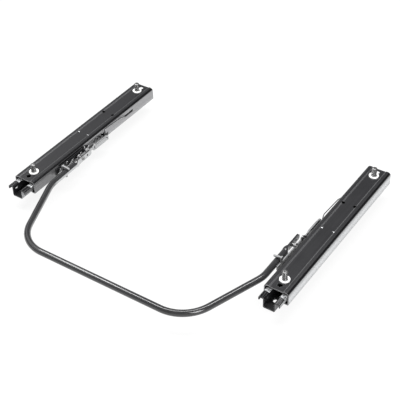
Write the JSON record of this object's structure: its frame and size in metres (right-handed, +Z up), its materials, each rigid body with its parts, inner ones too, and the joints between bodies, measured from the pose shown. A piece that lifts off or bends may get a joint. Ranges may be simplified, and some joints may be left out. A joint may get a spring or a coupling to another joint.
{
  "type": "seat slide rail pair",
  "caption": "Pair of ball-bearing seat slide rails with seat studs, sprung comb latches and one bent release bar across the front.",
  "frame": {"origin": "centre of the four floor bolt holes, on the underside of the lower rails", "axes": "+X across the pair, +Y along the rails to the rear, +Z up out of the rails"},
  "size_m": [0.6128, 0.5245, 0.0478],
  "materials": {
    "rail_paint": "satin black coat",
    "bar_paint": "satin black coat",
    "lever_steel": "zinc-plated stamping",
    "zinc_steel": "bright zinc",
    "spring_wire": "drawn wire",
    "bearing_steel": "polished",
    "cage_nylon": "moulded",
    "pad_nylon": "moulded",
    "washer_nylon": "moulded"
  },
  "bodies": {
    "floor_rails": {"left_lower_rail": "rail_paint", "right_lower_rail": "rail_paint"},
    "left_carriage": {"left_upper_rail": "rail_paint", "left_guide_pads": "pad_nylon", "left_front_stud": "zinc_steel", "left_rear_stud": "zinc_steel", "left_front_washer": "washer_nylon", "left_rear_washer": "washer_nylon", "left_pivot_bracket": "lever_steel", "left_bracket_rivets": "zinc_steel", "left_pivot_pin": "zinc_steel", "left_return_spring": "spring_wire"},
    "right_carriage": {"right_upper_rail": "rail_paint", "right_guide_pads": "pad_nylon", "right_front_stud": "zinc_steel", "right_rear_stud": "zinc_steel", "right_front_washer": "washer_nylon", "right_rear_washer": "washer_nylon", "right_pivot_bracket": "lever_steel", "right_bracket_rivets": "zinc_steel", "right_pivot_pin": "zinc_steel", "right_return_spring": "spring_wire"},
    "left_ball_set": {"left_ball_cages": "cage_nylon", "left_balls": "bearing_steel"},
    "right_ball_set": {"right_ball_cages": "cage_nylon", "right_balls": "bearing_steel"},
    "release_bar": {"release_bar": "bar_paint", "left_latch_lever": "lever_steel", "left_bar_rivet": "zinc_steel", "right_latch_lever": "lever_steel", "right_bar_rivet": "zinc_steel"}
  },
  "joints": [
    {"name": "left_rail_slide", "type": "slide", "parent": "floor_rails", "child": "left_carriage", "axis": [0, 1, 0], "range_m": [-0.08, 0.04]},
    {"name": "right_rail_slide", "type": "slide", "parent": "floor_rails", "child": "right_carriage", "axis": [0, 1, 0], "range_m": [-0.08, 0.04]},
    {"name": "left_ball_roll", "type": "slide", "parent": "floor_rails", "child": "left_ball_set", "axis": [0, 1, 0], "range_m": [-0.04, 0.02]},
    {"name": "right_ball_roll", "type": "slide", "parent": "floor_rails", "child": "right_ball_set", "axis": [0, 1, 0], "range_m": [-0.04, 0.02]},
    {"name": "bar_lift", "type": "hinge", "parent": "left_carriage", "child": "release_bar", "pos_m": [0, -0.021, 0.016], "axis": [-1, 0, 0], "range_deg": [-6, 0], "stiffness_Nm_per_rad": 2, "springref_deg": -14.32, "deforming": ["left_return_spring", "right_return_spring"]}
  ],
  "couplings": [
    {"joint": "right_rail_slide", "follows": "left_rail_slide", "ratio": 1},
    {"joint": "left_ball_roll", "follows": "left_rail_slide", "ratio": 0.5},
    {"joint": "right_ball_roll", "follows": "left_rail_slide", "ratio": 0.5}
  ]
}
